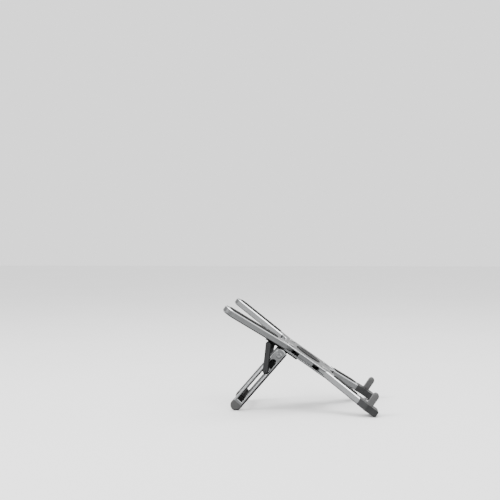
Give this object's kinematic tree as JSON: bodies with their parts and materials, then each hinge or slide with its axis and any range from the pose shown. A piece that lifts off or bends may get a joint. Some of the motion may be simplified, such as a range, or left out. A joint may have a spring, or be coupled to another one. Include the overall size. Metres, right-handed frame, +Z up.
{
  "type": "folding laptop stand",
  "caption": "Folding metal laptop riser: tilted hub with swing-out arms, padded front lips, and a slotted rear leg held by a strut.",
  "frame": {"origin": "bottom centre of the open stand's bounding box, on the desk", "axes": "+Z up, -Y towards the user (the low front with the lips), +X to the stand's right"},
  "size_m": [0.1552, 0.1586, 0.1128],
  "materials": {
    "arm_aluminium": "fine blasted, anodised space grey, bright chamfers",
    "hub_aluminium": "fine blasted, anodised space grey",
    "leg_aluminium": "anodised grey with bright chamfered edges",
    "cap_metal": "satin dark grey",
    "strut_metal": "satin dark grey",
    "dark_metal": "satin black",
    "steel": "turned, satin",
    "washer": "matt black",
    "silicone": "matt silicone",
    "lip_silicone": "matt silicone",
    "foot_rubber": "matt rubber",
    "dark_plastic": "matt black"
  },
  "bodies": {
    "hub": {"hub_top_plate": "hub_aluminium", "hub_bottom_plate": "hub_aluminium", "hub_core": "hub_aluminium", "hub_pad": "silicone", "hub_screws": "steel", "bracket_screws": "steel", "arm_pins": "steel", "arm_washers": "washer", "leg_bracket": "dark_metal", "hinge_rod": "leg_aluminium", "hinge_spacer": "dark_metal", "hinge_washers": "washer", "strut_stubs": "strut_metal"},
    "front_left_arm_unit": {"front_left_arm": "arm_aluminium", "front_left_cap": "cap_metal", "front_left_foot": "foot_rubber", "front_left_lip": "lip_silicone", "front_left_lip_core": "steel", "front_left_pad": "silicone", "front_left_screw": "steel"},
    "front_right_arm_unit": {"front_right_arm": "arm_aluminium", "front_right_cap": "cap_metal", "front_right_foot": "foot_rubber", "front_right_lip": "lip_silicone", "front_right_lip_core": "steel", "front_right_pad": "silicone", "front_right_screw": "steel"},
    "rear_left_arm_unit": {"rear_left_arm": "arm_aluminium", "rear_left_pad": "silicone"},
    "rear_right_arm_unit": {"rear_right_arm": "arm_aluminium", "rear_right_pad": "silicone"},
    "leg_unit": {"leg_left_bumper": "dark_plastic", "leg_left_foot": "foot_rubber", "leg_left_plate": "leg_aluminium", "leg_right_bumper": "dark_plastic", "leg_right_foot": "foot_rubber", "leg_right_plate": "leg_aluminium", "foot_bar": "dark_metal", "foot_bar_screws": "dark_metal", "top_bar": "dark_metal"},
    "strut_unit": {"strut_left_link": "strut_metal", "strut_right_link": "strut_metal", "strut_rod": "strut_metal"}
  },
  "joints": [
    {"name": "front_left_fold", "type": "hinge", "parent": "hub", "child": "front_left_arm_unit", "pos_m": [-0.022, -0.02205, 0.04071], "axis": [0, -0.5707, 0.8211], "range_deg": [0, 34]},
    {"name": "front_right_fold", "type": "hinge", "parent": "hub", "child": "front_right_arm_unit", "pos_m": [0.022, -0.02205, 0.04071], "axis": [0, 0.5707, -0.8211], "range_deg": [0, 34]},
    {"name": "rear_left_fold", "type": "hinge", "parent": "hub", "child": "rear_left_arm_unit", "pos_m": [-0.022, 0.01408, 0.06582], "axis": [0, 0.5707, -0.8211], "range_deg": [0, 34]},
    {"name": "rear_right_fold", "type": "hinge", "parent": "hub", "child": "rear_right_arm_unit", "pos_m": [0.022, 0.01408, 0.06582], "axis": [0, -0.5707, 0.8211], "range_deg": [0, 34]},
    {"name": "leg_fold", "type": "hinge", "parent": "hub", "child": "leg_unit", "pos_m": [0, 0.02366, 0.05811], "axis": [1, 0, 0], "range_deg": [0, 83.8]},
    {"name": "strut_fold", "type": "hinge", "parent": "hub", "child": "strut_unit", "pos_m": [0, 0.03495, 0.06547], "axis": [1, 0, 0], "range_deg": [0, 116.6]}
  ],
  "couplings": [
    {"joint": "strut_fold", "follows": "leg_fold", "ratio": 1.389}
  ]
}
